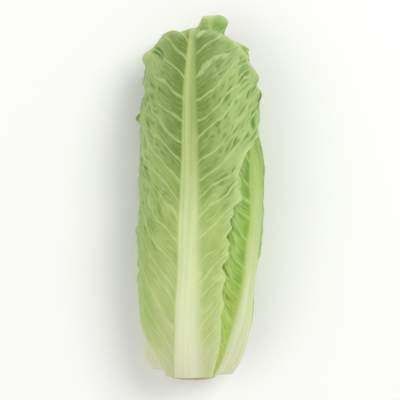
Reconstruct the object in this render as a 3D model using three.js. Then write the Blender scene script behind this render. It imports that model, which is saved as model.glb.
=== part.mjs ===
// A romaine heart, lying on its side: a short cut stem and the leaves that grow round it, outermost
// first. Millimetres, +Z up. The heart lies along Y with its cut end at -Y and its tip at +Y.
// The origin is on the surface that it rests on, below the middle of its bounding box.
//
// Every leaf is one solid of blade and midrib. Leaves are described in the heart's own coordinates:
// u is the height above the cut, and an angle of 0 points up, with +X to the right at 90 degrees.
// At each height the leaves share the room between the stem and the outline of the whole heart, in
// order, so that each lies against the next with air between them.
import * as THREE from "three";

const DEGREE = Math.PI / 180;

// The whole heart.
const HEART_LENGTH = 214;
const HALF_WIDTH = 37;
const HALF_HEIGHT = 32;
const BUTT_SHARE = 0.74; // of the full width, near the cut
const BUTT_PINCH = 0.14; // how much less that is at the cut itself
const PINCH_HEIGHT = 14;
const SHOULDER_HEIGHT = 92; // where the heart reaches its full width
const SHOULDER_CURVE = 2.4; // how late it does so: 1 is a straight cone, and more is fuller
const CROWN_HEIGHT = 148; // where it begins to close
const CROWN_SHARE = 0.46; // of the full width, at the tip
const CROWN_CURVE = 2.2; // how late it closes, in the same way
const HOLLOW_RADIUS = 1.6; // the air up the middle, above the stem
const BEND = 5; // how far the cut end lies to the left of the rest
const BEND_HEIGHT = 120; // and the height up to which the heart is bent
const BEND_CURVE = 1.3; // how much of the bend is near the cut end

// Height of the middle of the heart above the surface, at [u, z]. The underside is pressed flat
// wherever this is less than the half height.
const MIDDLE_HEIGHTS = [
  [-4, 20.8],
  [0, 21.4],
  [30, 25.8],
  [60, 28.4],
  [95, 29.8],
  [145, 29.8],
  [180, 28.6],
  [214, 27.5],
];

// The stem.
const STEM_RADIUS = 14;
const STEM_TOP = 46;
const STEM_STUB = 3; // how far it stands out below the outermost leaves
const STEM_CHAMFER = 0.8;
const DOME_CURVE = 2.2; // how blunt its top is
const STEM_COLUMNS = 24;
const STEM_ROWS = 9;

// The leaves.
const BLADE_THICKNESS = 0.9;
const RIB_PROFILE = [
  [0, 3.6, 9],
  [0.12, 3.8, 8.4],
  [0.35, 3.1, 6.4],
  [0.65, 2, 4.4],
  [0.9, 0.9, 3.2],
  [1, 0.3, 2],
]; // share of the leaf's length, thickness under the blade, half-width
const RIB_SPREAD = 1.5; // how far a midrib's edges run out, as a share of its half-width
const RIB_WIDTH_KEPT = 0.45; // the share of a midrib's width that does not shrink with its leaf
const RIB_THICKNESS_KEPT = 0.4; // and of its thickness
const RIB_STAND = 0.6; // how far a free midrib stands out, as a share of its thickness
const TOP_SHARE = 0.2; // of a leaf's length, taken up by its rounded top
const TOP_CURVE = 2.2; // how flat the middle of that top is
const MARGIN_ROOM = 8; // how far past a leaf's margin its neighbours keep clear of it
const FADE = 9; // the distance in which they then close up
const ROOT_LENGTH = 5; // the foot of each leaf, where it turns in to the stem
const ROOT_CURVE = 1.5; // how much of that turn is in the lowest part
const FOOT_ROOM = 6; // how far below a leaf's foot the leaves outside it keep clear of it
const FIT = 0.3; // between a leaf's foot and what it turns in to
const MOST_WRAP = 150 * DEGREE; // to either side of a midrib
const LEAST_RADIUS = 7; // for reading a leaf's widths near the middle of the heart
const NESTING = 0.85; // of the way from the outline in to the stem, for the innermost leaf

// Half-width of a leaf's blade at [share of its length, mm], for a leaf of full width.
const USUAL_MARGIN = [
  [0, 13],
  [0.08, 15],
  [0.22, 24],
  [0.42, 40],
  [0.62, 56],
  [0.8, 62],
];
const FRONT_LEFT_MARGIN = [
  [0, 13],
  [0.055, 17.5],
  [0.17, 40],
  [0.28, 50],
  [0.5, 60],
  [0.8, 66],
];
const FRONT_RIGHT_MARGIN = [
  [0, 17],
  [0.08, 22],
  [0.22, 22.8],
  [0.38, 25.8],
  [0.52, 29.8],
  [0.615, 34],
  [0.69, 44],
  [0.75, 57],
  [0.82, 62],
];

// The leaves from the outermost in: angle at the foot, turn along the leaf, height of the foot,
// height of the tip, and the share of the full width and rib.
const LEAVES = [
  { name: "leaf_01", angle: -12, turn: -1, foot: 0, tip: 205, size: 1 },
  { name: "leaf_02", angle: 59, turn: 15, foot: 0.4, tip: 199, size: 0.98 },
  { name: "leaf_03", angle: 206, turn: 4, foot: 0.2, tip: 208, size: 1 },
  { name: "leaf_04", angle: 134, turn: 6, foot: 3, tip: 203, size: 0.95 },
  { name: "leaf_05", angle: 278, turn: -6, foot: 3, tip: 205, size: 0.95 },
  { name: "leaf_06", angle: 22, turn: 8, foot: 6.5, tip: 214, size: 0.92 },
  { name: "leaf_07", angle: 160, turn: -8, foot: 9, tip: 211, size: 0.86 },
  { name: "leaf_08", angle: 298, turn: 6, foot: 12, tip: 206, size: 0.8 },
  { name: "leaf_09", angle: 76, turn: -6, foot: 16, tip: 200, size: 0.72 },
  { name: "leaf_10", angle: 214, turn: 8, foot: 20, tip: 192, size: 0.62 },
  { name: "leaf_11", angle: 350, turn: -8, foot: 24, tip: 181, size: 0.52 },
  { name: "leaf_12", angle: 128, turn: 6, foot: 28.5, tip: 168, size: 0.42 },
  { name: "leaf_13", angle: 266, turn: -6, foot: 33, tip: 150, size: 0.33 },
  { name: "leaf_14", angle: 42, turn: 0, foot: 37.5, tip: 128, size: 0.24 },
];
LEAVES[0].left = FRONT_LEFT_MARGIN;
LEAVES[0].right = FRONT_RIGHT_MARGIN;

// How finely the leaves are drawn: [columns on each side of the midrib, rows].
const OUTER_GRID = [9, 15];
const INNER_GRID = [7, 12];
const OUTER_LEAVES = 7; // how many take the finer one
const COLUMN_CURVE = 1.15; // closes the columns up towards the midrib
const ROW_SHIFT = 0.1; // closes the rows up towards both ends, where a leaf curves most
const TOP_ROW_SHIFT = 0.07; // the same at the top

const clamp = (x, low, high) => Math.min(high, Math.max(low, x));

// A smooth curve through rows of [x, value, value, ...], read in the given column.
function along(rows, x, column = 1) {
  const last = rows.length - 1;
  const at = clamp(x, rows[0][0], rows[last][0]);
  let i = 0;
  while (i < last - 1 && at > rows[i + 1][0]) {
    i++;
  }
  const slope = (k) => {
    const a = rows[Math.max(0, k - 1)];
    const b = rows[Math.min(last, k + 1)];
    return (b[column] - a[column]) / (b[0] - a[0]);
  };
  const step = rows[i + 1][0] - rows[i][0];
  const t = (at - rows[i][0]) / step;
  const t2 = t * t;
  const t3 = t2 * t;
  return (
    (2 * t3 - 3 * t2 + 1) * rows[i][column] +
    (t3 - 2 * t2 + t) * step * slope(i) +
    (3 * t2 - 2 * t3) * rows[i + 1][column] +
    (t3 - t2) * step * slope(i + 1)
  );
}

// The heart's outline.
function fullness(u) {
  const below = Math.max(0, 1 - u / SHOULDER_HEIGHT);
  const above = Math.max(0, (u - CROWN_HEIGHT) / (HEART_LENGTH - CROWN_HEIGHT));
  const pinch = Math.max(0, 1 - Math.max(0, u) / PINCH_HEIGHT);
  return (
    (1 - BUTT_PINCH * pinch ** 2) *
    (1 - (1 - BUTT_SHARE) * below ** SHOULDER_CURVE) *
    (1 - (1 - CROWN_SHARE) * Math.min(1, above) ** CROWN_CURVE)
  );
}

const middleHeight = (u) => along(MIDDLE_HEIGHTS, u);

const middleAside = (u) => -BEND * Math.max(0, 1 - u / BEND_HEIGHT) ** BEND_CURVE;

const meanRadius = (u) => (fullness(u) * (HALF_WIDTH + HALF_HEIGHT)) / 2;

// The furthest that anything at this angle may reach before it meets the surface below.
function floorLimit(angle, u) {
  const down = -Math.cos(angle);
  return down > 0 ? middleHeight(u) / down : Infinity;
}

function outlineRadius(angle, u) {
  const width = HALF_WIDTH * fullness(u);
  const height = HALF_HEIGHT * fullness(u);
  const oval =
    (width * height) /
    Math.hypot(height * Math.sin(angle), width * Math.cos(angle));
  return Math.min(oval, floorLimit(angle, u));
}

// The stem narrows to a dome as its leaves leave it.
function stemRadius(u) {
  const share = clamp(u / STEM_TOP, 0, 1);
  return STEM_RADIUS * Math.sqrt(1 - share ** DOME_CURVE);
}

const coreRadius = (u) => Math.max(HOLLOW_RADIUS, stemRadius(u));

// One leaf, in the heart's coordinates.
const count = LEAVES.length;

const shareAlong = (leaf, u) => (u - leaf.foot) / (leaf.tip - leaf.foot);

const midribAngle = (leaf, u) =>
  (leaf.angle + leaf.turn * shareAlong(leaf, u)) * DEGREE;

// About how far from the middle a leaf lies, which turns distances across it into angles.
function layerRadius(leaf, u) {
  const depth = NESTING * (LEAVES.indexOf(leaf) / count);
  const core = coreRadius(u);
  return Math.max(LEAST_RADIUS, core + (meanRadius(u) - core) * (1 - depth));
}

function marginAngle(leaf, side, u) {
  const rows = (side < 0 ? leaf.left : leaf.right) ?? USUAL_MARGIN;
  const width = along(rows, shareAlong(leaf, u)) * leaf.size;
  return Math.min(MOST_WRAP, width / layerRadius(leaf, u));
}

// The angle from a leaf's midrib, between -180 and 180 degrees.
function fromMidrib(leaf, angle, u) {
  const turned = angle - midribAngle(leaf, u);
  return Math.atan2(Math.sin(turned), Math.cos(turned));
}

// Height of the leaf's upper edge, at a share of the way from its midrib to its margin.
const topEdge = (leaf, across) =>
  leaf.tip - TOP_SHARE * (leaf.tip - leaf.foot) * across ** TOP_CURVE;

// 1 on the leaf and for MARGIN_ROOM round it, and then falling smoothly to 0. It falls faster
// below the foot.
function cover(leaf, angle, u) {
  const off = fromMidrib(leaf, angle, u);
  const margin = marginAngle(leaf, Math.sign(off), u);
  const across = Math.min(1, Math.abs(off) / margin);
  const beside = Math.max(0, Math.abs(off) - margin) * layerRadius(leaf, u);
  const above = Math.max(0, u - topEdge(leaf, across));
  const below = Math.max(0, leaf.foot - u) * ((MARGIN_ROOM + FADE) / FOOT_ROOM);
  const away = Math.hypot(beside, above, below);
  const t = clamp(1 - (away - MARGIN_ROOM) / FADE, 0, 1);
  return t * t * (3 - 2 * t);
}

// What a midrib's size comes to on a smaller leaf, when some of it does not shrink.
const shrunk = (leaf, kept) => kept + (1 - kept) * leaf.size;

// The midrib's bulge, from 1 at its crest to 0 at its edge.
function ribBulge(leaf, angle, u) {
  const share = clamp(shareAlong(leaf, u), 0, 1);
  const halfWidth = along(RIB_PROFILE, share, 2) * shrunk(leaf, RIB_WIDTH_KEPT);
  const off = Math.abs(fromMidrib(leaf, angle, u)) * layerRadius(leaf, u);
  const x = clamp(off / (RIB_SPREAD * halfWidth), 0, 1);
  return (1 - x * x) ** 2;
}

function ribThickness(leaf, u) {
  const share = clamp(shareAlong(leaf, u), 0, 1);
  return along(RIB_PROFILE, share, 1) * shrunk(leaf, RIB_THICKNESS_KEPT);
}

const leafThickness = (leaf, angle, u) =>
  BLADE_THICKNESS + ribThickness(leaf, u) * ribBulge(leaf, angle, u);

// Inner and outer radius of every leaf at one place, from the outermost in, and how far in
// its foot may reach there.
function layers(angle, u) {
  const covers = LEAVES.map((leaf) => cover(leaf, angle, u));
  const thick = LEAVES.map(
    (leaf, i) => covers[i] * leafThickness(leaf, angle, u),
  );
  const sum = (values) => values.reduce((a, b) => a + b, 0);
  const core = coreRadius(u);
  const air = outlineRadius(angle, u) - core - sum(thick);
  const airEach = air / Math.max(1, sum(covers));
  const found = [];
  let radius = core;
  let reach = stemRadius(u) + FIT;
  for (let i = count - 1; i >= 0; i--) {
    const outer = radius + airEach * covers[i] + thick[i];
    found[i] = { inner: outer - thick[i], outer, reach };
    radius = outer;
    if (u > LEAVES[i].foot - FOOT_ROOM) {
      reach += (outer + FIT - reach) * covers[i];
    }
  }
  let free = 1;
  LEAVES.forEach((leaf, i) => {
    const stand =
      RIB_STAND * ribThickness(leaf, u) * ribBulge(leaf, angle, u) * free;
    const proud = found[i].outer + stand;
    found[i].outer = Math.min(
      proud,
      Math.max(found[i].outer, floorLimit(angle, u)),
    );
    free *= 1 - covers[i];
  });
  return found;
}

function place(angle, radius, u) {
  return new THREE.Vector3(
    middleAside(u) + radius * Math.sin(angle),
    u,
    middleHeight(u) + radius * Math.cos(angle),
  );
}

// A closed slab from two grids of points: rows of columns, the second grid inside the first.
function slab(outer, inner) {
  const rows = outer.length;
  const columns = outer[0].length;
  const points = [...outer.flat(), ...inner.flat()];
  const index = (side, r, c) => side * rows * columns + r * columns + c;
  const faces = [];
  const quad = (a, b, c, d) => faces.push(a, b, c, a, c, d);
  for (let r = 0; r < rows - 1; r++)
    for (let c = 0; c < columns - 1; c++) {
      quad(
        index(0, r, c),
        index(0, r, c + 1),
        index(0, r + 1, c + 1),
        index(0, r + 1, c),
      );
      quad(
        index(1, r, c),
        index(1, r + 1, c),
        index(1, r + 1, c + 1),
        index(1, r, c + 1),
      );
    }
  // Once round the edge of the grids: along the first row, up, back, and down again.
  const upTo = (n) => Array.from({ length: n - 1 }, (_, k) => k);
  const rim = [
    ...upTo(columns).map((c) => [0, c]),
    ...upTo(rows).map((r) => [r, columns - 1]),
    ...upTo(columns).map((c) => [rows - 1, columns - 1 - c]),
    ...upTo(rows).map((r) => [rows - 1 - r, 0]),
  ];
  rim.forEach(([r, c], k) => {
    const [nextRow, nextColumn] = rim[(k + 1) % rim.length];
    quad(
      index(0, r, c),
      index(1, r, c),
      index(1, nextRow, nextColumn),
      index(0, nextRow, nextColumn),
    );
  });
  return solid(points, faces);
}

function solid(points, faces) {
  const geometry = new THREE.BufferGeometry().setFromPoints(points);
  geometry.setIndex(faces);
  geometry.computeVertexNormals();
  return geometry;
}

function leafGeometry(leaf, order) {
  const [half, rows] = order < OUTER_LEAVES ? OUTER_GRID : INNER_GRID;
  const outer = [];
  const inner = [];
  for (let r = 0; r <= rows; r++) {
    const t = r / rows;
    const shift = ROW_SHIFT + (TOP_ROW_SHIFT - ROW_SHIFT) * t;
    const share = t - shift * Math.sin(2 * Math.PI * t);
    const outerRow = [];
    const innerRow = [];
    for (let k = -half; k <= half; k++) {
      const side = Math.sign(k);
      const across = (Math.abs(k) / half) ** COLUMN_CURVE;
      const u = leaf.foot + (topEdge(leaf, across) - leaf.foot) * share;
      const angle =
        midribAngle(leaf, u) + side * across * marginAngle(leaf, side, u);
      const layer = layers(angle, u)[order];
      const root = clamp((u - leaf.foot) / ROOT_LENGTH, 0, 1) ** ROOT_CURVE;
      const within = layer.reach + (layer.inner - layer.reach) * root;
      outerRow.push(place(angle, layer.outer, u));
      innerRow.push(place(angle, Math.min(layer.inner, within), u));
    }
    outer.push(outerRow);
    inner.push(innerRow);
  }
  return slab(outer, inner);
}

// The stem: rings from the cut face to the dome, with a point in the middle of each end.
function stemGeometry() {
  const rings = [[-STEM_STUB, STEM_RADIUS - STEM_CHAMFER]];
  rings.push([STEM_CHAMFER - STEM_STUB, STEM_RADIUS]);
  for (let r = 1; r < STEM_ROWS; r++) {
    const u = STEM_TOP * Math.sin(((r / STEM_ROWS) * Math.PI) / 2);
    rings.push([u, stemRadius(u)]);
  }
  const points = rings.flatMap(([u, radius]) =>
    Array.from({ length: STEM_COLUMNS }, (_, c) =>
      place((c / STEM_COLUMNS) * 360 * DEGREE, radius, u),
    ),
  );
  const cut = points.push(place(0, 0, -STEM_STUB)) - 1;
  const dome = points.push(place(0, 0, STEM_TOP)) - 1;
  const faces = [];
  const last = (rings.length - 1) * STEM_COLUMNS;
  for (let c = 0; c < STEM_COLUMNS; c++) {
    const next = (c + 1) % STEM_COLUMNS;
    faces.push(cut, next, c);
    faces.push(dome, last + c, last + next);
    for (let r = 0; r < last; r += STEM_COLUMNS) {
      faces.push(r + c, r + next, r + STEM_COLUMNS + next);
      faces.push(r + c, r + STEM_COLUMNS + next, r + STEM_COLUMNS + c);
    }
  }
  return solid(points, faces);
}

// The outer leaves are green, and the inner ones paler one by one.
function leafMaterial(order) {
  const outside = new THREE.Color("#93b45c");
  const inside = new THREE.Color("#dfe3a4");
  return new THREE.MeshStandardMaterial({
    color: outside.lerp(inside, order / (count - 1)),
    roughness: 0.5,
    metalness: 0,
  });
}

const stemMaterial = new THREE.MeshStandardMaterial({
  color: "#e6e2c0",
  roughness: 0.6,
  metalness: 0,
});

const heart = new THREE.Group();

const stem = new THREE.Mesh(stemGeometry(), stemMaterial);
stem.name = "stem";
heart.add(stem);

LEAVES.forEach((leaf, order) => {
  const mesh = new THREE.Mesh(leafGeometry(leaf, order), leafMaterial(order));
  mesh.name = leaf.name;
  heart.add(mesh);
});

// The origin goes below the middle of the whole.
const box = new THREE.Box3().setFromObject(heart);
const middle = box.getCenter(new THREE.Vector3());
heart.position.set(-middle.x, -middle.y, -box.min.z);

export default heart;
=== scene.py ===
import math

import bpy
import numpy as np
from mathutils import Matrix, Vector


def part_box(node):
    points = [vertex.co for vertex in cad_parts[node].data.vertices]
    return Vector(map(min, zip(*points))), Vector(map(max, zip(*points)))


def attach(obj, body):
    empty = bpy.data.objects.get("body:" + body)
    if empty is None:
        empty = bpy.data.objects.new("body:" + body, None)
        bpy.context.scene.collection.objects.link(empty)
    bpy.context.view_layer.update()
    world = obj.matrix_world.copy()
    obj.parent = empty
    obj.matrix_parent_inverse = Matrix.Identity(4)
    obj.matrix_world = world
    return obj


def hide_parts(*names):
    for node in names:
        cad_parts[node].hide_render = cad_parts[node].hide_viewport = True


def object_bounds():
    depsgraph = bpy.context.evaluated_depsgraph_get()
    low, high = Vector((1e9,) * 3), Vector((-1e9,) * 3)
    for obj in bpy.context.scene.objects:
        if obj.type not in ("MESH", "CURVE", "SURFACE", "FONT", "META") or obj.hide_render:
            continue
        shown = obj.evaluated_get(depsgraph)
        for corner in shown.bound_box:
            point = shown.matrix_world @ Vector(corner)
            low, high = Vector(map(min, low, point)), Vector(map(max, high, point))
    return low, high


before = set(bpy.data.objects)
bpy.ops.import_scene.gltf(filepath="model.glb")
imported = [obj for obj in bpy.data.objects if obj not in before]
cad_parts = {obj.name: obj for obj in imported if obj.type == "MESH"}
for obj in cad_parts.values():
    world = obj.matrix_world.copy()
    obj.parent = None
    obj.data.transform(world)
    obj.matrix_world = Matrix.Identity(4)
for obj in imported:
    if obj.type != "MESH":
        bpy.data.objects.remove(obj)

# A romaine heart lying on a pale surface, seen from above. Its leaves are drawn one by one from
# the outermost in, in the heart's own coordinates: u is the height above the cut in millimetres,
# and an angle of 0 points up. Lengths are in millimetres until a mesh is made of them.

MM = 0.001
DEGREE = math.pi / 180
TURN = 2 * math.pi

CAD_BOX = [list(corner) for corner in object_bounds()]


# ---------------------------------------------------------------- the shape of the whole heart

HEART_LENGTH = 214
HALF_WIDTH = 37
HALF_HEIGHT = 32
BUTT_SHARE = 0.74  # of the full width, near the cut
BUTT_PINCH = 0.14  # how much less that is at the cut itself
PINCH_HEIGHT = 14
SHOULDER_HEIGHT = 92  # where the heart reaches its full width
SHOULDER_CURVE = 2.4
CROWN_HEIGHT = 148  # where it begins to close
CROWN_SHARE = 0.46  # of the full width, at the tip
CROWN_CURVE = 2.2
HOLLOW_RADIUS = 1.6
BEND = 5  # how far the cut end lies to the left
BEND_HEIGHT = 120
BEND_CURVE = 1.3
MIDDLE_HEIGHTS = [
    (-4, 20.8), (0, 21.4), (30, 25.8), (60, 28.4), (95, 29.8), (145, 29.8), (180, 28.6),
    (214, 27.5),
]

STEM_RADIUS = 14
STEM_TOP = 46
STEM_STUB = 3
STEM_CHAMFER = 0.8
DOME_CURVE = 2.2

# Share of a leaf's length, thickness of its midrib under the blade, and half-width.
RIB_PROFILE = [
    (0, 3.6, 9), (0.12, 3.8, 8.4), (0.35, 3.1, 6.4), (0.65, 2, 4.4), (0.9, 0.9, 3.2), (1, 0.3, 2),
]
RIB_SPREAD = 1.5
RIB_WIDTH_KEPT = 0.45
RIB_THICKNESS_KEPT = 0.4
RIB_STAND = 0.6
BLADE_THICKNESS = 0.9
TOP_SHARE = 0.2
TOP_CURVE = 2.2
MARGIN_ROOM = 8
FADE = 9
ROOT_LENGTH = 5
ROOT_CURVE = 1.5
FOOT_ROOM = 6
FIT = 0.3
MOST_WRAP = 150 * DEGREE
LEAST_RADIUS = 7
NESTING = 0.85

# Half-width of a leaf at a share of its length.
USUAL_MARGIN = [(0, 13), (0.08, 15), (0.22, 24), (0.42, 40), (0.62, 56), (0.8, 62)]
FRONT_LEFT_MARGIN = [(0, 13), (0.055, 17.5), (0.17, 40), (0.28, 50), (0.5, 60), (0.8, 66)]
FRONT_RIGHT_MARGIN = [
    (0, 17), (0.08, 22), (0.22, 22.8), (0.38, 25.8), (0.52, 29.8), (0.615, 34), (0.69, 44),
    (0.75, 57), (0.82, 62),
]


class Leaf:
    """One leaf: the angle of its foot, its turn, the heights of its foot and tip, and its size."""

    def __init__(self, order, angle, turn, foot, tip, size, step, slot, blistered=0.18, smooth=30):
        self.order = order
        self.name = f"leaf_{order + 1:02d}"
        self.angle = angle
        self.turn = turn
        self.foot = foot
        self.tip = tip
        self.size = size
        self.step = step  # how finely it is drawn
        self.slot = slot
        self.blistered = blistered  # share of its length at which the blisters begin
        self.smooth = smooth  # how far from the midrib they reach their full depth
        self.left = FRONT_LEFT_MARGIN if order == 0 else USUAL_MARGIN
        self.right = FRONT_RIGHT_MARGIN if order == 0 else USUAL_MARGIN


LEAVES = [
    Leaf(0, -12, -1, 0, 205, 1, 0.85, "outer_leaf"),
    Leaf(1, 59, 15, 0.4, 199, 0.98, 0.85, "outer_leaf", -0.1, 13),
    Leaf(2, 206, 4, 0.2, 208, 1, 1, "outer_leaf"),
    Leaf(3, 134, 6, 3, 203, 0.95, 1, "outer_leaf"),
    Leaf(4, 278, -6, 3, 205, 0.95, 1, "outer_leaf"),
    Leaf(5, 22, 8, 6.5, 214, 0.92, 1.2, "middle_leaf"),
    Leaf(6, 160, -8, 9, 211, 0.86, 1.3, "middle_leaf"),
    Leaf(7, 298, 6, 12, 206, 0.8, 1.4, "middle_leaf"),
    Leaf(8, 76, -6, 16, 200, 0.72, 1.5, "middle_leaf"),
    Leaf(9, 214, 8, 20, 192, 0.62, 1.6, "middle_leaf"),
    Leaf(10, 350, -8, 24, 181, 0.52, 1.8, "inner_leaf"),
    Leaf(11, 128, 6, 28.5, 168, 0.42, 2, "inner_leaf"),
    Leaf(12, 266, -6, 33, 150, 0.33, 2, "inner_leaf"),
    Leaf(13, 42, 0, 37.5, 128, 0.24, 2, "inner_leaf"),
]


def along(rows, x, column=1):
    """A smooth curve through the rows, read in one of their columns."""
    table = np.array(rows, float)
    places, values = table[:, 0], table[:, column]
    x = np.clip(x, places[0], places[-1])
    i = np.clip(np.searchsorted(places, x, side="right") - 1, 0, len(places) - 2)
    before = np.maximum(np.arange(len(places)) - 1, 0)
    after = np.minimum(np.arange(len(places)) + 1, len(places) - 1)
    slopes = (values[after] - values[before]) / (places[after] - places[before])
    step = places[i + 1] - places[i]
    t = (x - places[i]) / step
    return (
        (2 * t**3 - 3 * t**2 + 1) * values[i]
        + (t**3 - 2 * t**2 + t) * step * slopes[i]
        + (3 * t**2 - 2 * t**3) * values[i + 1]
        + (t**3 - t**2) * step * slopes[i + 1]
    )


def ease(x, start, end):
    """0 before start, 1 after end, and a smooth change between them."""
    t = np.clip((x - start) / (end - start), 0, 1)
    return t * t * (3 - 2 * t)


def fullness(u):
    below = np.maximum(0, 1 - u / SHOULDER_HEIGHT)
    above = np.clip((u - CROWN_HEIGHT) / (HEART_LENGTH - CROWN_HEIGHT), 0, 1)
    pinch = np.maximum(0, 1 - np.maximum(0, u) / PINCH_HEIGHT)
    narrow = (1 - BUTT_PINCH * pinch**2) * (1 - (1 - CROWN_SHARE) * above**CROWN_CURVE)
    return (1 - (1 - BUTT_SHARE) * below**SHOULDER_CURVE) * narrow


def middle_height(u):
    return along(MIDDLE_HEIGHTS, u)


def middle_aside(u):
    return -BEND * np.maximum(0, 1 - u / BEND_HEIGHT) ** BEND_CURVE


def floor_limit(angle, u):
    """The furthest that anything may reach at an angle before it meets the surface below."""
    down = -np.cos(angle)
    return np.where(down > 0.05, middle_height(u) / np.maximum(down, 0.05), np.inf)


def outline_radius(angle, u):
    width = HALF_WIDTH * fullness(u)
    height = HALF_HEIGHT * fullness(u)
    oval = width * height / np.hypot(height * np.sin(angle), width * np.cos(angle))
    return np.minimum(oval, floor_limit(angle, u))


def stem_radius(u):
    return STEM_RADIUS * np.sqrt(1 - np.clip(u / STEM_TOP, 0, 1) ** DOME_CURVE)


def core_radius(u):
    return np.maximum(HOLLOW_RADIUS, stem_radius(u))


def share_along(leaf, u):
    return (u - leaf.foot) / (leaf.tip - leaf.foot)


def midrib_angle(leaf, u):
    return (leaf.angle + leaf.turn * share_along(leaf, u)) * DEGREE


def layer_radius(leaf, u):
    """About how far from the middle a leaf lies, which turns distances across it into angles."""
    mean = fullness(u) * (HALF_WIDTH + HALF_HEIGHT) / 2
    inward = 1 - leaf.order / len(LEAVES) * NESTING
    return np.maximum(LEAST_RADIUS, core_radius(u) + (mean - core_radius(u)) * inward)


def margin_angle(leaf, side, u):
    share = share_along(leaf, u)
    width = np.where(side < 0, along(leaf.left, share), along(leaf.right, share)) * leaf.size
    return np.minimum(MOST_WRAP, width / layer_radius(leaf, u))


def from_midrib(leaf, angle, u):
    turned = angle - midrib_angle(leaf, u)
    return np.arctan2(np.sin(turned), np.cos(turned))


def top_edge(leaf, across):
    return leaf.tip - TOP_SHARE * (leaf.tip - leaf.foot) * across**TOP_CURVE


def cover(leaf, angle, u, room=MARGIN_ROOM, fade=FADE):
    """1 on the leaf and for some room round it, and then fading smoothly to 0."""
    off = from_midrib(leaf, angle, u)
    margin = margin_angle(leaf, np.sign(off), u)
    across = np.minimum(1, np.abs(off) / margin)
    beside = np.maximum(0, np.abs(off) - margin) * layer_radius(leaf, u)
    above = np.maximum(0, u - top_edge(leaf, across))
    below = np.maximum(0, leaf.foot - u) * ((room + fade) / FOOT_ROOM)
    away = np.sqrt(beside**2 + above**2 + below**2)
    return 1 - ease(away, room, room + fade)


def shrunk(leaf, kept):
    """What a midrib's size comes to on a smaller leaf, when some of it does not shrink."""
    return kept + (1 - kept) * leaf.size


def rib_bulge(leaf, angle, u):
    share = np.clip(share_along(leaf, u), 0, 1)
    half_width = along(RIB_PROFILE, share, 2) * shrunk(leaf, RIB_WIDTH_KEPT)
    off = np.abs(from_midrib(leaf, angle, u)) * layer_radius(leaf, u)
    x = np.clip(off / (RIB_SPREAD * half_width), 0, 1)
    return (1 - x * x) ** 2


def rib_thickness(leaf, u):
    share = np.clip(share_along(leaf, u), 0, 1)
    return along(RIB_PROFILE, share, 1) * shrunk(leaf, RIB_THICKNESS_KEPT)


def layer(leaf, angle, u):
    """Inner and outer radius of a leaf, the air beside it, and how free its outside is."""
    covers = [cover(other, angle, u) for other in LEAVES]
    thick = [
        c * (BLADE_THICKNESS + rib_thickness(other, u) * rib_bulge(other, angle, u))
        for c, other in zip(covers, LEAVES)
    ]
    core = core_radius(u)
    air = (outline_radius(angle, u) - core - sum(thick)) / np.maximum(1, sum(covers))
    radius = core
    reach = stem_radius(u) + FIT
    for other in reversed(LEAVES[leaf.order + 1 :]):
        radius = radius + air * covers[other.order] + thick[other.order]
        near = np.where(u > other.foot - FOOT_ROOM, covers[other.order], 0)
        reach = reach + (radius + FIT - reach) * near
    outer = radius + air * covers[leaf.order] + thick[leaf.order]
    inner = outer - thick[leaf.order]
    free = np.ones_like(outer)
    for other in LEAVES[: leaf.order]:
        free = free * (1 - covers[other.order])
    stand = RIB_STAND * rib_thickness(leaf, u) * rib_bulge(leaf, angle, u) * free
    outer = np.minimum(outer + stand, np.maximum(outer, floor_limit(angle, u)))
    return inner, outer, reach, air, free


# ---------------------------------------------------------------- where the heart lies

# The stem's widest ring is a little above its cut, which gives the heart's place sideways.
STEM_LOW, STEM_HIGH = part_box("stem")
WIDEST_RING = STEM_CHAMFER - STEM_STUB
CUT_Y = STEM_LOW.y / MM + STEM_STUB
ASIDE_X = STEM_LOW.x / MM + STEM_RADIUS - float(middle_aside(WIDEST_RING))


def place(angle, radius, u):
    """Points in millimetres, in the frame of the CAD parts, as an array of x, y, z rows."""
    x = ASIDE_X + middle_aside(u) + radius * np.sin(angle)
    z = middle_height(u) + radius * np.cos(angle)
    return np.stack([x, CUT_Y + u + 0 * x, z], axis=-1)


PRESSED_BELOW = 1.1
LEAST_HEIGHT = 0.08


def settle(points):
    """Presses what comes near the surface flat on it, and keeps it above the surface."""
    z = points[..., 2]
    depth = PRESSED_BELOW - LEAST_HEIGHT
    sunk = (np.minimum(z, PRESSED_BELOW) - PRESSED_BELOW) / depth
    points[..., 2] = np.where(z < PRESSED_BELOW, LEAST_HEIGHT + depth * np.exp(sunk), z)
    return points


# ---------------------------------------------------------------- meshes


def make_object(name, points, faces, layers=()):
    """A closed mesh in metres, with one attribute for each of the layers, smooth all over."""
    mesh = bpy.data.meshes.new(name)
    mesh.from_pydata((points * MM).tolist(), [], faces.tolist())
    for title, kind, values in layers:
        attribute = mesh.attributes.new(title, kind, "POINT")
        field = "value" if kind == "FLOAT" else "vector"
        attribute.data.foreach_set(field, np.ascontiguousarray(values, np.float32).ravel())
    mesh.polygons.foreach_set("use_smooth", np.ones(len(mesh.polygons), bool))
    mesh.update()
    made = bpy.data.objects.new(name, mesh)
    bpy.context.scene.collection.objects.link(made)
    return made


def slab_faces(rows, columns):
    """Faces of a closed slab: an outer grid of points, and an inner one after it."""
    index = np.arange(rows * columns).reshape(rows, columns)
    a, b = index[:-1, :-1], index[:-1, 1:]
    c, d = index[1:, 1:], index[1:, :-1]
    outer = np.stack([a, b, c, d], -1).reshape(-1, 4)
    inner = np.stack([a, d, c, b], -1).reshape(-1, 4) + rows * columns
    rim = np.concatenate([index[0, :-1], index[:-1, -1], index[-1, :0:-1], index[:0:-1, 0]])
    after = np.roll(rim, -1)
    under = rows * columns
    edge = np.stack([rim, rim + under, after + under, after], -1)
    return np.concatenate([outer, inner, edge])


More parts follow.
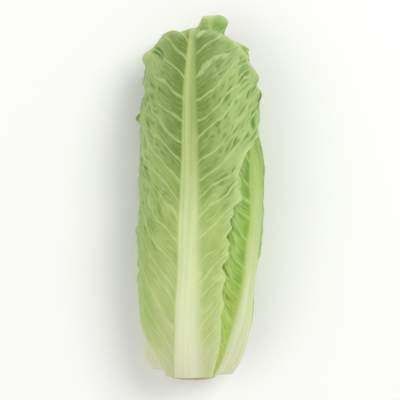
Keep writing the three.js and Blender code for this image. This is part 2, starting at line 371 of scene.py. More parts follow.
def waves(x, y, seed, lengths, heights):
    """Smooth irregular waves over a plane: a few crossing ripples of each length."""
    random = np.random.default_rng(seed)
    total = np.zeros_like(x)
    for length, height in zip(lengths, heights):
        for _ in range(5):
            way = random.uniform(0, TURN)
            stretch = length * random.uniform(0.75, 1.35)
            phase = random.uniform(0, TURN)
            forward = x * np.cos(way) + y * np.sin(way)
            total += height / 2.2 * np.sin(TURN * forward / stretch + phase)
    return total


# Laterals leave the midrib at a slope that falls with height, and curve upwards on the way out.
LATERAL_SLOPES = [(0, 1.15), (60, 1.05), (130, 0.76), (214, 0.68)]
LATERAL_CURVE = 0.0045


# Half-width of a midrib's pale band at a share of the leaf's length. It ends in a line on the
# left, and fades into the blade on the right.
RIB_BAND = [(0, 7), (0.1, 6.3), (0.25, 5.9), (0.45, 5.3), (0.6, 4.6), (0.75, 3.9), (1, 1.6)]
SOFT_BAND = [(0, 8), (0.25, 6.4), (0.45, 4.5), (0.6, 3), (1, 1.5)]


def rib_band(leaf, away, climb):
    """How far a place is on the pale band, and on the line along its left edge."""
    half = along(RIB_BAND, climb) * shrunk(leaf, RIB_WIDTH_KEPT)
    soft = along(SOFT_BAND, climb) * leaf.size
    left = 1 - ease(-away, half - 0.7, half + 0.6)
    right = 1 - ease(away, half - 0.35 * soft, half + soft)
    line = np.exp(-(((away + half) / 0.7) ** 2))
    return np.where(away < 0, left, right), line


SMOOTHING = 9


def calmed(values, step):
    """Evens a grid out along the leaf, over SMOOTHING millimetres either way."""
    reach = max(1, round(SMOOTHING / step))
    weights = np.hanning(2 * reach + 3)[1:-1]
    weights = weights / weights.sum()
    first = 2 * values[:1] - values[reach:0:-1]
    last = 2 * values[-1:] - values[-2 : -reach - 2 : -1]
    padded = np.concatenate([first, values, last])
    return sum(w * padded[k : k + len(values)] for k, w in enumerate(weights))


def leaf_object(leaf):
    """The leaf as a closed sheet with a thick midrib, in two grids of points."""
    seed = leaf.order * 11 + 3
    widest = max(leaf.left[-1][1], leaf.right[-1][1]) * leaf.size
    half = max(8, round(widest / leaf.step))
    rows = round((leaf.tip - leaf.foot) / leaf.step)
    across = np.abs(np.linspace(-1, 1, 2 * half + 1))[None, :]
    side = np.sign(np.linspace(-1, 1, 2 * half + 1))[None, :]
    t = np.linspace(0, 1, rows + 1)[:, None]
    share = t + 0 * across

    # The upper edge is uneven, and so is the margin on both sides.
    top = top_edge(leaf, across)
    ragged = waves(across * side * widest, 0 * across, seed, [34, 13], [2.2, 1.3])
    apex = np.exp(-((across * widest / 10) ** 2))
    top = top + ragged * (1 - 0.4 * across) * (1 - apex) + 1.5 * apex
    u = leaf.foot + (top - leaf.foot) * share
    wide = margin_angle(leaf, side, u)
    radius = layer_radius(leaf, u)
    scallop = waves(u, side * 60 + 0 * u, seed + 1, [32, 14, 8], [1.3, 1.6, 0.8]) * ease(u, 12, 60)
    corner = 0.2 * across**4 * share**10
    spread = across * (1 - corner) + across**7 * scallop / (wide * radius)
    angle = midrib_angle(leaf, u) + side * spread * wide
    away = side * spread * wide * radius

    inner, outer, reach, air, free = layer(leaf, angle, u)
    inner = calmed(inner, leaf.step)
    outer = calmed(outer, leaf.step)
    root = np.clip((u - leaf.foot) / ROOT_LENGTH, 0, 1) ** ROOT_CURVE
    inner = np.minimum(inner, reach + (inner - reach) * root)

    # The blade thins towards its margin.
    from_side = (1 - across) * wide * radius
    from_top = (1 - share) * (top - leaf.foot)
    from_margin = np.minimum(from_side, from_top)
    thin = 0.35 * (1 - ease(from_margin, 0, 10)) * ease(u, leaf.foot, leaf.foot + 20)
    inner = inner + thin
    outer = outer - 0.4 * thin

    # Slow swells all over, and a frill along the margin that lifts off the leaf below it.
    room = np.clip(air, 0, 1.6)
    bulge = rib_bulge(leaf, angle, u)
    calm = ease(u, 5, 60) * (1 - 0.75 * bulge)
    swell = waves(away, u, seed + 2, [62, 30], [0.5, 0.34]) * room * calm
    frilled = (1 - ease(from_margin, 0, 17)) * (0.3 + 0.7 * ease(u, 20, 110))
    frill = waves(away, u, seed + 3, [26, 14, 8.5], [1.5, 1.1, 0.55])
    outwards = np.maximum(frill, -0.35 * room) + 1.7 * (0.15 + free)
    lift = swell + frilled**1.4 * outwards * (0.35 + 0.65 * free)
    inner = inner + lift
    outer = outer + lift

    points = np.concatenate(
        [place(angle, outer, u).reshape(-1, 3), place(angle, inner, u).reshape(-1, 3)]
    )
    rise = u - along(LATERAL_SLOPES, u) * np.abs(away) - LATERAL_CURVE * away**2
    sheet = np.stack([away, rise, 0 * u + seed * 31 + side * 7], -1).reshape(-1, 3)
    climb = share_along(leaf, u)
    edge = 1 - ease(from_margin, 0, 6)
    zones = np.stack([bulge, climb, edge], -1).reshape(-1, 3)
    seen = np.ones_like(outer)
    for other in LEAVES[: leaf.order]:
        seen = seen * (1 - cover(other, angle, u, 0, 3))
    band, line = rib_band(leaf, away, np.clip(climb, 0, 1))
    rib = np.stack([band, line, seen], -1).reshape(-1, 3)
    spread_out = ease(np.abs(away), 5, leaf.smooth)
    upper = ease(climb, leaf.blistered, leaf.blistered + 0.54)
    pucker = (0.12 + 0.88 * spread_out * upper) * (1 - bulge) ** 2
    start = np.minimum(40, 90 * (0.3 + leaf.blistered))
    pucker = pucker * (0.3 + 0.7 * seen) * ease(u, leaf.foot, leaf.foot + start)
    outward = np.stack([np.sin(angle), 0 * angle, np.cos(angle)], -1).reshape(-1, 3)
    layers = [
        ("sheet", "FLOAT_VECTOR", sheet),
        ("zones", "FLOAT_VECTOR", zones),
        ("rib", "FLOAT_VECTOR", rib),
        ("outward", "FLOAT_VECTOR", outward),
        ("pucker", "FLOAT", pucker.reshape(-1)),
    ]
    return make_object(
        leaf.name + "_looks",
        points,
        slab_faces(rows + 1, 2 * half + 1),
        [(title, kind, np.concatenate([values, values])) for title, kind, values in layers],
    )


# ---------------------------------------------------------------- nodes


def add(tree, kind, settings=None, inputs=None, out=0):
    """Adds a node with its settings, and its inputs as values or links, and gives an output."""
    made = tree.nodes.new(kind)
    for name, value in (settings or {}).items():
        setattr(made, name, value)
    for name, value in (inputs or {}).items():
        if isinstance(value, bpy.types.NodeSocket):
            tree.links.new(value, made.inputs[name])
        else:
            made.inputs[name].default_value = value
    return made.outputs[out]


def colour(text):
    """An sRGB hex colour as the linear red, green, blue and alpha that nodes take."""
    parts = [int(text[i : i + 2], 16) / 255 for i in (1, 3, 5)]
    return [p / 12.92 if p <= 0.04045 else ((p + 0.055) / 1.055) ** 2.4 for p in parts] + [1]


LATERAL_SPACING = 12.5
LATERAL_WIDTH = 1.7
FINE_SPACING = 2.7
BLISTER_ACROSS = 7.5
BLISTER_UP = 4.9


def vein_pattern(tree, sheet):
    """The nodes that draw a blade's veins on its sheet coordinates, for a shape or a finish.

    Gives the laterals, the fine veins beside them, the pockets of the net between them, and
    slow patches. All of them wander, and the veins fade in and out."""
    slow = add(
        tree, "ShaderNodeTexNoise", {"noise_dimensions": "3D"},
        {"Vector": sheet, "Scale": 1 / 21, "Detail": 1.0, "Roughness": 0.5}, "Color",
    )
    quick = add(
        tree, "ShaderNodeTexNoise", {"noise_dimensions": "3D"},
        {"Vector": sheet, "Scale": 1 / 6, "Detail": 1.0, "Roughness": 0.5}, "Color",
    )
    aside = add(
        tree, "ShaderNodeVectorMath", {"operation": "MULTIPLY_ADD"},
        {0: slow, 1: (12, 15, 0), 2: (-6, -7.5, 0)},
    )
    shaken = add(
        tree, "ShaderNodeVectorMath", {"operation": "MULTIPLY_ADD"},
        {0: quick, 1: (5, 4.4, 0), 2: (-2.5, -2.2, 0)},
    )
    drawn = add(tree, "ShaderNodeVectorMath", {"operation": "ADD"}, {0: sheet, 1: aside})
    drawn = add(tree, "ShaderNodeVectorMath", {"operation": "ADD"}, {0: drawn, 1: shaken})
    rise = add(tree, "ShaderNodeSeparateXYZ", {}, {0: drawn}, "Y")
    lateral_step = add(
        tree, "ShaderNodeMath", {"operation": "DIVIDE"}, {0: rise, 1: LATERAL_SPACING}
    )
    to_lateral = add(
        tree, "ShaderNodeTexVoronoi",
        {"voronoi_dimensions": "1D", "feature": "DISTANCE_TO_EDGE"},
        {"W": lateral_step, "Scale": 1.0, "Randomness": 0.7},
    )
    lateral = add(
        tree, "ShaderNodeMapRange", {"interpolation_type": "SMOOTHSTEP"},
        {
            "Value": to_lateral, "From Min": 0.0, "From Max": LATERAL_WIDTH / LATERAL_SPACING,
            "To Min": 1.0, "To Max": 0.0,
        },
    )
    fine_step = add(tree, "ShaderNodeMath", {"operation": "DIVIDE"}, {0: rise, 1: FINE_SPACING})
    to_fine = add(
        tree, "ShaderNodeTexVoronoi",
        {"voronoi_dimensions": "1D", "feature": "DISTANCE_TO_EDGE"},
        {"W": fine_step, "Scale": 1.0, "Randomness": 0.9},
    )
    fine = add(
        tree, "ShaderNodeMapRange", {"interpolation_type": "SMOOTHSTEP"},
        {"Value": to_fine, "From Min": 0.0, "From Max": 0.42, "To Min": 1.0, "To Max": 0.0},
    )
    patches = add(tree, "ShaderNodeSeparateXYZ", {}, {0: quick}, "Z")
    broken = add(
        tree, "ShaderNodeMapRange", {},
        {"Value": patches, "From Min": 0.38, "From Max": 0.6, "To Min": 0.15, "To Max": 1.0},
    )
    fine = add(tree, "ShaderNodeMath", {"operation": "MULTIPLY"}, {0: fine, 1: broken})
    net = add(
        tree, "ShaderNodeVectorMath", {"operation": "MULTIPLY"},
        {0: drawn, 1: (1 / BLISTER_ACROSS, 1 / BLISTER_UP, 1)},
    )
    to_net = add(
        tree, "ShaderNodeTexVoronoi", {"feature": "DISTANCE_TO_EDGE"},
        {"Vector": net, "Scale": 1.0, "Randomness": 1.0},
    )
    pocket = add(
        tree, "ShaderNodeMapRange", {"interpolation_type": "SMOOTHSTEP"},
        {"Value": to_net, "From Min": 0.0, "From Max": 0.55, "To Min": 0.0, "To Max": 1.0},
    )
    uneven = add(
        tree, "ShaderNodeMapRange", {},
        {"Value": patches, "From Min": 0.35, "From Max": 0.6, "To Min": 0.2, "To Max": 1.0},
    )
    pocket = add(tree, "ShaderNodeMath", {"operation": "MULTIPLY"}, {0: pocket, 1: uneven})
    crumple = add(tree, "ShaderNodeSeparateXYZ", {}, {0: slow}, "Z")
    return lateral, fine, pocket, crumple


def relief_tree():
    """Raises the veins of a leaf and sinks the pockets between them, as on a leaf's outside."""
    tree = bpy.data.node_groups.new("leaf_relief", "GeometryNodeTree")
    face = tree.interface
    face.new_socket("Geometry", in_out="INPUT", socket_type="NodeSocketGeometry")
    face.new_socket("Pocket depth", in_out="INPUT", socket_type="NodeSocketFloat")
    face.new_socket("Vein height", in_out="INPUT", socket_type="NodeSocketFloat")
    face.new_socket("Crumple height", in_out="INPUT", socket_type="NodeSocketFloat")
    face.new_socket("Finish", in_out="INPUT", socket_type="NodeSocketMaterial")
    face.new_socket("Geometry", in_out="OUTPUT", socket_type="NodeSocketGeometry")
    given = tree.nodes.new("NodeGroupInput")
    sheet = add(
        tree, "GeometryNodeInputNamedAttribute", {"data_type": "FLOAT_VECTOR"}, {"Name": "sheet"}
    )
    outward = add(
        tree, "GeometryNodeInputNamedAttribute", {"data_type": "FLOAT_VECTOR"}, {"Name": "outward"}
    )
    pucker = add(
        tree, "GeometryNodeInputNamedAttribute", {"data_type": "FLOAT"}, {"Name": "pucker"}
    )
    lateral, fine, pocket, crumple = vein_pattern(tree, sheet)
    sunk = add(
        tree, "ShaderNodeMath", {"operation": "MULTIPLY"},
        {0: pocket, 1: given.outputs["Pocket depth"]},
    )
    vein = add(
        tree, "ShaderNodeMath", {"operation": "MULTIPLY_ADD"}, {0: fine, 1: 0.4, 2: lateral}
    )
    raised = add(
        tree, "ShaderNodeMath", {"operation": "MULTIPLY"},
        {0: vein, 1: given.outputs["Vein height"]},
    )
    tossed = add(tree, "ShaderNodeMath", {"operation": "SUBTRACT"}, {0: crumple, 1: 0.5})
    tossed = add(
        tree, "ShaderNodeMath", {"operation": "MULTIPLY"},
        {0: tossed, 1: given.outputs["Crumple height"]},
    )
    height = add(tree, "ShaderNodeMath", {"operation": "SUBTRACT"}, {0: raised, 1: sunk})
    height = add(tree, "ShaderNodeMath", {"operation": "ADD"}, {0: height, 1: tossed})
    puckered = add(tree, "ShaderNodeMath", {"operation": "MULTIPLY"}, {0: height, 1: pucker})
    offset = add(
        tree, "ShaderNodeVectorMath", {"operation": "SCALE"}, {0: outward, "Scale": puckered}
    )
    moved = add(
        tree, "GeometryNodeSetPosition", {},
        {"Geometry": given.outputs["Geometry"], "Offset": offset},
    )
    whole = add(tree, "GeometryNodeRealizeInstances", {}, {"Geometry": moved})
    finished = add(
        tree, "GeometryNodeSetMaterial", {},
        {"Geometry": whole, "Material": given.outputs["Finish"]},
    )
    result = tree.nodes.new("NodeGroupOutput")
    tree.links.new(finished, result.inputs["Geometry"])
    return tree


def with_relief(piece, tree, values):
    """Runs the tree on a piece with named inputs, and gives the result as a plain mesh."""
    modifier = piece.modifiers.new("relief", "NODES")
    modifier.node_group = tree
    for socket in tree.interface.items_tree:
        if socket.in_out == "INPUT" and socket.name in values:
            modifier[socket.identifier] = values[socket.name]
    graph = bpy.context.evaluated_depsgraph_get()
    mesh = bpy.data.meshes.new_from_object(piece.evaluated_get(graph))
    piece.modifiers.remove(modifier)
    piece.data = mesh
    return piece


# ---------------------------------------------------------------- finishes


def ramp(tree, factor, stops):
    """A colour ramp through (place, sRGB hex) stops."""
    result = add(tree, "ShaderNodeValToRGB", {}, {"Fac": factor})
    elements = result.node.color_ramp.elements
    while len(elements) < len(stops):
        elements.new(0.5)
    for element, (place_on_ramp, text) in zip(elements, stops):
        element.position = place_on_ramp
        element.color = colour(text)
    return result


def leaf_finish(name, rib_stops, near_stops, far_stops, vein_and_highlight_text, pocket_shade_text):
    """Living romaine leaf: a waxy skin that is soft in the light and lets a little of it through."""
    material = bpy.data.materials.new(name)
    material.use_nodes = True
    tree = material.node_tree
    tree.nodes.clear()
    sheet = add(tree, "ShaderNodeAttribute", {"attribute_name": "sheet"}, {}, "Vector")
    zones = add(tree, "ShaderNodeAttribute", {"attribute_name": "zones"}, {}, "Vector")
    pucker = add(tree, "ShaderNodeAttribute", {"attribute_name": "pucker"}, {}, "Fac")
    parts = add(tree, "ShaderNodeSeparateXYZ", {}, {0: zones}).node
    bulge, climb, edge = parts.outputs["X"], parts.outputs["Y"], parts.outputs["Z"]
    rib = add(tree, "ShaderNodeAttribute", {"attribute_name": "rib"}, {}, "Vector")
    rib_parts = add(tree, "ShaderNodeSeparateXYZ", {}, {0: rib}).node
    band, rib_line = rib_parts.outputs["X"], rib_parts.outputs["Y"]
    away = add(tree, "ShaderNodeSeparateXYZ", {}, {0: sheet}, "X")
    distance = add(tree, "ShaderNodeMath", {"operation": "ABSOLUTE"}, {0: away})
    lateral, fine, pocket, _ = vein_pattern(tree, sheet)

    # The blade is palest beside the midrib and at its foot, in uneven patches.
    patches = add(
        tree, "ShaderNodeTexNoise", {}, {"Vector": sheet, "Scale": 1 / 13, "Detail": 3.0}, "Fac"
    )
    uneven = add(
        tree, "ShaderNodeMath", {"operation": "MULTIPLY_ADD"}, {0: patches, 1: 0.5, 2: -0.25}
    )
    tone = add(tree, "ShaderNodeMath", {"operation": "ADD"}, {0: climb, 1: uneven})
    near = ramp(tree, tone, near_stops)
    far = ramp(tree, tone, far_stops)
    outward = add(
        tree, "ShaderNodeMapRange", {"interpolation_type": "SMOOTHSTEP"},
        {"Value": distance, "From Min": 4.0, "From Max": 34.0},
    )
    blade = add(tree, "ShaderNodeMix", {"data_type": "RGBA"}, {0: outward, 6: near, 7: far}, 2)

    # Pockets of the net are painted deeper green as shade in their hollows. The raised net between
    # them is paler, partly as paler veins and partly as a painted highlight. Both effects are weaker
    # near the foot.
    pale_net_and_highlight = add(tree, "ShaderNodeMath", {"operation": "SUBTRACT"}, {0: 0.62, 1: pocket})
    pale_net_and_highlight = add(
        tree, "ShaderNodeMath", {"operation": "MULTIPLY", "use_clamp": True}, {0: pale_net_and_highlight, 1: pucker}
    )
    pale_net_and_highlight = add(tree, "ShaderNodeMath", {"operation": "MULTIPLY"}, {0: pale_net_and_highlight, 1: 0.6})
    blade = add(
        tree, "ShaderNodeMix", {"data_type": "RGBA"}, {0: pale_net_and_highlight, 6: blade, 7: colour(vein_and_highlight_text)}, 2
    )
    pocket_shade = add(tree, "ShaderNodeMath", {"operation": "MULTIPLY"}, {0: pocket, 1: pucker})
    pocket_shade = add(tree, "ShaderNodeMath", {"operation": "MULTIPLY"}, {0: pocket_shade, 1: 0.6})
    blade = add(
        tree, "ShaderNodeMix", {"data_type": "RGBA"}, {0: pocket_shade, 6: blade, 7: colour(pocket_shade_text)}, 2
    )
    fineness = add(
        tree, "ShaderNodeMapRange", {},
        {"Value": climb, "From Min": 0.15, "From Max": 0.6, "To Min": 0.85, "To Max": 0.35},
    )
    faint = add(tree, "ShaderNodeMath", {"operation": "MULTIPLY"}, {0: fine, 1: fineness})
    line = add(tree, "ShaderNodeMath", {"operation": "MAXIMUM"}, {0: lateral, 1: faint})
    fading = add(
        tree, "ShaderNodeMapRange", {},
        {"Value": distance, "From Min": 6.0, "From Max": 40.0, "To Min": 0.42, "To Max": 0.18},
    )
    line = add(tree, "ShaderNodeMath", {"operation": "MULTIPLY"}, {0: line, 1: fading})
    beside = add(tree, "ShaderNodeMath", {"operation": "SUBTRACT"}, {0: 1.0, 1: band})
    line = add(tree, "ShaderNodeMath", {"operation": "MULTIPLY"}, {0: line, 1: beside})
    blade = add(
        tree, "ShaderNodeMix", {"data_type": "RGBA"}, {0: line, 6: blade, 7: colour(vein_and_highlight_text)}, 2
    )

    # The midrib is pale, with a yellow green line down its left side, and streaked along its length.
    streaks = add(
        tree, "ShaderNodeVectorMath", {"operation": "MULTIPLY"}, {0: sheet, 1: (0.55, 0.012, 1)}
    )
    streak = add(
        tree, "ShaderNodeTexNoise", {}, {"Vector": streaks, "Scale": 1.0, "Detail": 2.0}, "Fac"
    )
    rib_colour = ramp(tree, climb, rib_stops)
    streaked = add(
        tree, "ShaderNodeMapRange", {},
        {"Value": streak, "From Min": 0.4, "From Max": 0.75, "To Max": 0.35},
    )
    rib_colour = add(
        tree, "ShaderNodeMix", {"data_type": "RGBA"}, {0: streaked, 6: rib_colour, 7: near}, 2
    )
    shaded = add(
        tree, "ShaderNodeMapRange", {},
        {"Value": away, "From Min": -0.6, "From Max": 1.4, "To Max": 0.45},
    )
    upper = add(
        tree, "ShaderNodeMapRange", {},
        {"Value": climb, "From Min": 0.4, "From Max": 0.75},
    )
    shaded = add(tree, "ShaderNodeMath", {"operation": "MULTIPLY"}, {0: shaded, 1: upper})
    rib_colour = add(
        tree, "ShaderNodeMix", {"data_type": "RGBA"}, {0: shaded, 6: rib_colour, 7: near}, 2
    )
    skin = add(tree, "ShaderNodeMix", {"data_type": "RGBA"}, {0: band, 6: blade, 7: rib_colour}, 2)
    rib_line = add(tree, "ShaderNodeMath", {"operation": "MULTIPLY"}, {0: rib_line, 1: 0.6})
    skin = add(
        tree, "ShaderNodeMix", {"data_type": "RGBA"},
        {0: rib_line, 6: skin, 7: colour("#b4c76c")}, 2,
    )

    # The very margin is thin and pale.
    thin = add(tree, "ShaderNodeMath", {"operation": "MULTIPLY"}, {0: edge, 1: 0.35})
    skin = add(
        tree, "ShaderNodeMix", {"data_type": "RGBA"}, {0: thin, 6: skin, 7: colour(vein_and_highlight_text)}, 2
    )

    # Painted shade: the blade is darkened in the gap just beside the margin of the leaf above it,
    # where that leaf would shade it.
    painted_gap_shade = add(
        tree, "ShaderNodeMapRange", {},
        {
            "Value": rib_parts.outputs["Z"], "From Min": 0.0, "From Max": 0.9,
            "To Min": 0.5, "To Max": 0.0,
        },
    )
    skin = add(
        tree, "ShaderNodeMix", {"data_type": "RGBA"}, {0: painted_gap_shade, 6: skin, 7: colour("#3f5c20")}, 2
    )

    # Cells of the skin, drawn at half a millimetre, and the veins, as a fine relief.
    cells = add(
        tree, "ShaderNodeTexNoise", {}, {"Vector": sheet, "Scale": 1.6, "Detail": 2.0}, "Fac"
    )
    relief = add(tree, "ShaderNodeMath", {"operation": "MULTIPLY_ADD"}, {0: line, 1: 1.6, 2: cells})
    relief = add(
        tree, "ShaderNodeMath", {"operation": "MULTIPLY_ADD"}, {0: streak, 1: bulge, 2: relief}
    )
    normal = add(
        tree, "ShaderNodeBump", {}, {"Strength": 0.35, "Distance": 0.25 * MM, "Height": relief}
    )
    rough = add(
        tree, "ShaderNodeMapRange", {},
        {"Value": cells, "From Min": 0.3, "From Max": 0.7, "To Min": 0.42, "To Max": 0.56},
    )
    shader = add(
        tree, "ShaderNodeBsdfPrincipled", {},
        {
            "Base Color": skin, "Roughness": rough, "Normal": normal, "IOR": 1.42,
            "Specular IOR Level": 0.32, "Subsurface Weight": 0.18,
            "Subsurface Radius": (0.6, 1.0, 0.3), "Subsurface Scale": 1.2 * MM,
        },
    )
    output = tree.nodes.new("ShaderNodeOutputMaterial")
    tree.links.new(shader, output.inputs["Surface"])
    return material


def stem_finish():
    """Cut romaine stem: moist pale flesh with a ring of bundles, dull and a little rusty."""
    material = bpy.data.materials.new("romaine_stem_flesh")
    material.use_nodes = True
    tree = material.node_tree
    tree.nodes.clear()
    where = add(tree, "ShaderNodeTexCoord", {}, {}, "Object")
    blotches = add(
        tree, "ShaderNodeTexNoise", {}, {"Vector": where, "Scale": 160.0, "Detail": 4.0}, "Fac"
    )
    flesh = ramp(tree, blotches, [(0.3, "#c9c48e"), (0.5, "#dedbb2"), (0.75, "#e9e6c8")])
    radius = add(tree, "ShaderNodeAttribute", {"attribute_name": "radius"}, {}, "Fac")
    ring = ramp(
        tree, radius,
        [
            (0.0, "#d9d9a6"), (0.5, "#e6e4c2"), (0.68, "#c6ca90"), (0.8, "#e0deb8"),
            (0.95, "#cdb987"), (1.0, "#b48d58"),
        ],
    )
    skin = add(tree, "ShaderNodeMix", {"data_type": "RGBA"}, {0: 0.5, 6: flesh, 7: ring}, 2)
    normal = add(
        tree, "ShaderNodeBump", {}, {"Strength": 0.4, "Distance": 0.4 * MM, "Height": blotches}
    )
    shader = add(
        tree, "ShaderNodeBsdfPrincipled", {},
        {
            "Base Color": skin, "Roughness": 0.5, "Normal": normal, "Subsurface Weight": 0.2,
            "Subsurface Radius": (1.0, 0.9, 0.5), "Subsurface Scale": 1.5 * MM,
        },
    )
    output = tree.nodes.new("ShaderNodeOutputMaterial")
    tree.links.new(shader, output.inputs["Surface"])
    return material


def plain_finish(name, text, roughness):
    """Matt painted board, which only sends light back."""
    material = bpy.data.materials.new(name)
    material.use_nodes = True
    shader = material.node_tree.nodes["Principled BSDF"]
    shader.inputs["Base Color"].default_value = colour(text)
    shader.inputs["Roughness"].default_value = roughness
    return material


RIB_STOPS = [
    (0.02, "#dcdebc"), (0.14, "#dde2bc"), (0.26, "#d8dfb1"), (0.4, "#d0daa3"), (0.6, "#c1d08c"),
    (0.85, "#b2c67e"),
]
# The last two colours of each finish are the pale veins, which also give a painted highlight on the
# raised net, and the painted shade in the pockets of the net.
OUTER_FINISH = leaf_finish(
    "romaine_outer_leaf",
    RIB_STOPS,
    [
        (0.03, "#c2c596"), (0.2, "#b4c07a"), (0.33, "#a8b86b"), (0.46, "#98ae58"),
        (0.58, "#7f9942"), (0.74, "#64822e"),
    ],
    [
        (0.03, "#b7c382"), (0.2, "#a8bd69"), (0.33, "#96b257"), (0.46, "#88aa4b"),
        (0.6, "#789d40"), (0.8, "#6f963a"),
    ],
    "#d6e4a6",
    "#4f7c24",
)
SECOND_FINISH = leaf_finish(
    "romaine_bright_leaf",
    [
        (0.02, "#d9dcb9"), (0.14, "#d6dcb2"), (0.26, "#ced8a6"), (0.4, "#bfce8d"),
        (0.6, "#a9c271"), (0.85, "#93b058"),
    ],
    [(0.03, "#afbd5c"), (0.2, "#a2bd4c"), (0.33, "#88ae3e"), (0.5, "#6f9930"), (0.8, "#67902b")],
    [(0.03, "#a8bb54"), (0.2, "#99b945"), (0.33, "#80aa39"), (0.5, "#6c982e"), (0.8, "#67902b")],
    "#c8de8c",
    "#47791c",
)
MIDDLE_FINISH = leaf_finish(
    "romaine_middle_leaf",
    [(0.02, "#e2e2c0"), (0.3, "#dde3b6"), (0.6, "#cddb9c"), (0.9, "#aac476")],
    [(0.0, "#dcdfae"), (0.3, "#cbd994"), (0.6, "#abc86e"), (0.9, "#86ae4c")],
    [(0.0, "#cfd79a"), (0.3, "#bccf7e"), (0.6, "#9cc05a"), (0.9, "#7aa840")],
    "#e2eab8",
    "#6f9c38",
)
INNER_FINISH = leaf_finish(
    "romaine_inner_leaf",
    [(0.02, "#e9e6c8"), (0.4, "#e9e8c0"), (0.9, "#dfe3a4")],
    [(0.0, "#e8e6ba"), (0.4, "#e2e3a2"), (0.9, "#cfdc82")],
    [(0.0, "#e4e3ac"), (0.4, "#dadf8e"), (0.9, "#c2d56e")],
    "#eef0cc",
    "#b4cc5e",
)
FINISHES = {"outer_leaf": OUTER_FINISH, "middle_leaf": MIDDLE_FINISH, "inner_leaf": INNER_FINISH}
BRIGHT_LEAF = "leaf_02"


# ---------------------------------------------------------------- the pieces

POCKET_DEPTH = 1.3
VEIN_HEIGHT = 0.4
CRUMPLE_HEIGHT = 3.2


def make_leaf(leaf, tree):
    piece = with_relief(
        leaf_object(leaf),
        tree,
        {
            "Pocket depth": POCKET_DEPTH * MM,
            "Vein height": VEIN_HEIGHT * MM,
            "Crumple height": CRUMPLE_HEIGHT * MM,
            "Finish": SECOND_FINISH if leaf.name == BRIGHT_LEAF else FINISHES[leaf.slot],
        },
    )
    places = np.zeros(len(piece.data.vertices) * 3, np.float32)
    piece.data.vertices.foreach_get("co", places)
    settled = settle(places.reshape(-1, 3).astype(float) / MM) * MM
    piece.data.vertices.foreach_set("co", settled.astype(np.float32).ravel())
    piece.data.update()
    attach(piece, "root")
    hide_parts(leaf.name)
    return piece


STEM_COLUMNS = 96
STEM_ROWS = 40
CUT_RINGS = 22


def make_stem():
    """A turned form: the cut face in rings, a rounded rim, and the side up to its domed top."""
    turn = np.linspace(0, TURN, STEM_COLUMNS, endpoint=False)[None, :]
    face = np.linspace(0, 1, CUT_RINGS + 1)[1:, None]
    face_radius = (STEM_RADIUS - STEM_CHAMFER) * face
    uneven = waves(
        face_radius * np.cos(turn), face_radius * np.sin(turn), 5, [9, 3.5], [0.22, 0.12]
    )
    face_u = -STEM_STUB + 0.35 * np.sin(math.pi * face) ** 2 + 0.3 + uneven * (1 - face**6)
    t = np.linspace(0, 1, STEM_ROWS, endpoint=False)[:, None]
    side_u = WIDEST_RING + (STEM_TOP - WIDEST_RING) * np.sin(t * math.pi / 2)
    side_radius = np.minimum(stem_radius(side_u), STEM_RADIUS - 0.05)
    all_u = np.concatenate([face_u, side_u + 0 * turn])
    all_radius = np.concatenate([face_radius + 0 * turn, side_radius + 0 * turn])
    points = place(turn + 0 * all_u, all_radius, all_u).reshape(-1, 3)
    rings = len(all_u)
    ends = place(np.zeros(2), np.zeros(2), np.array([-STEM_STUB + 0.3, STEM_TOP]))
    points = np.concatenate([points, ends])
    share = np.concatenate([face + 0 * turn, np.ones_like(side_u + 0 * turn)]).reshape(-1)
    share = np.concatenate([share, [0, 1]])
    index = np.arange(rings * STEM_COLUMNS).reshape(rings, STEM_COLUMNS)
    after = np.roll(index, -1, axis=1)
    wall = np.stack([index[:-1], after[:-1], after[1:], index[1:]], -1).reshape(-1, 4)
    cut, dome = rings * STEM_COLUMNS, rings * STEM_COLUMNS + 1
    faces = wall.tolist()
    faces += [[cut, after[0, c], index[0, c]] for c in range(STEM_COLUMNS)]
    faces += [[dome, index[-1, c], after[-1, c]] for c in range(STEM_COLUMNS)]
    piece = make_object(
        "stem_looks", points, np.array(faces, dtype=object), [("radius", "FLOAT", share)]
    )
    piece.data.materials.append(stem_finish())
    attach(piece, "root")
    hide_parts("stem")
    return piece


make_stem()
RELIEF = relief_tree()
for leaf in LEAVES:
    make_leaf(leaf, RELIEF)


# ---------------------------------------------------------------- floor, light and camera

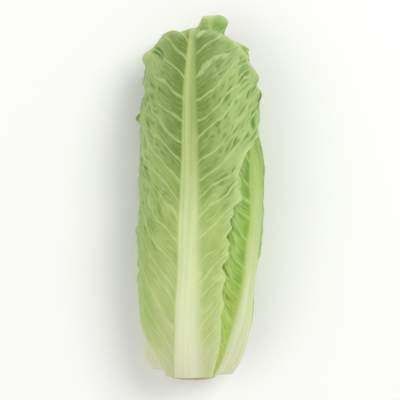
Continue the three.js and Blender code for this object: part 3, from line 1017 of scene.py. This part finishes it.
FLOOR_SIZE = 8  # metres
FILL = 0.9  # how much of the picture's height the heart takes


def make_floor():
    square = np.array([[-1, -1, 0], [1, -1, 0], [1, 1, 0], [-1, 1, 0]])
    points = square * (FLOOR_SIZE / 2 / MM)
    floor = make_object("floor", points, np.array([[0, 1, 2, 3]]))
    floor.data.materials.append(plain_finish("matt_white_board", "#f4f4f2", 0.9))


def make_light(name, place_of_light, size, power):
    data = bpy.data.lights.new(name, "AREA")
    data.size = size
    data.energy = power
    lamp = bpy.data.objects.new(name, data)
    lamp.location = place_of_light
    way = -lamp.location
    lamp.rotation_euler = way.to_track_quat("-Z", "Y").to_euler()
    bpy.context.scene.collection.objects.link(lamp)


def make_world():
    world = bpy.data.worlds.new("pale_room")
    world.use_nodes = True
    tree = world.node_tree
    where = add(tree, "ShaderNodeTexCoord", {}, {}, "Generated")
    height = add(tree, "ShaderNodeSeparateXYZ", {}, {0: where}, "Z")
    strength = add(
        tree, "ShaderNodeMapRange", {"interpolation_type": "SMOOTHSTEP"},
        {"Value": height, "From Min": 0.1, "From Max": 0.6, "To Min": 0.95, "To Max": 0.55},
    )
    background = tree.nodes["Background"]
    background.inputs["Color"].default_value = (1, 1, 1, 1)
    tree.links.new(strength, background.inputs["Strength"])
    bpy.context.scene.world = world


def make_camera():
    """Straight above the heart, with its tips at the top of the picture."""
    low, high = CAD_BOX
    data = bpy.data.cameras.new("camera")
    data.lens = 100
    data.sensor_width = 36
    camera = bpy.data.objects.new("camera", data)
    middle = [(low[axis] + high[axis]) / 2 for axis in range(3)]
    seen = (high[1] - low[1]) / FILL
    distance = seen * data.lens / data.sensor_width
    camera.location = (middle[0], middle[1], middle[2] + distance)
    camera.rotation_euler = (0, 0, 0)
    bpy.context.scene.collection.objects.link(camera)
    bpy.context.scene.camera = camera


make_floor()
make_light("window_right", (0.8, 0.6, 1.3), 0.8, 12.5)
make_light("window_left", (-0.9, -0.2, 1.3), 1.2, 5.5)
make_world()
make_camera()
bpy.context.scene.view_settings.view_transform = "Standard"
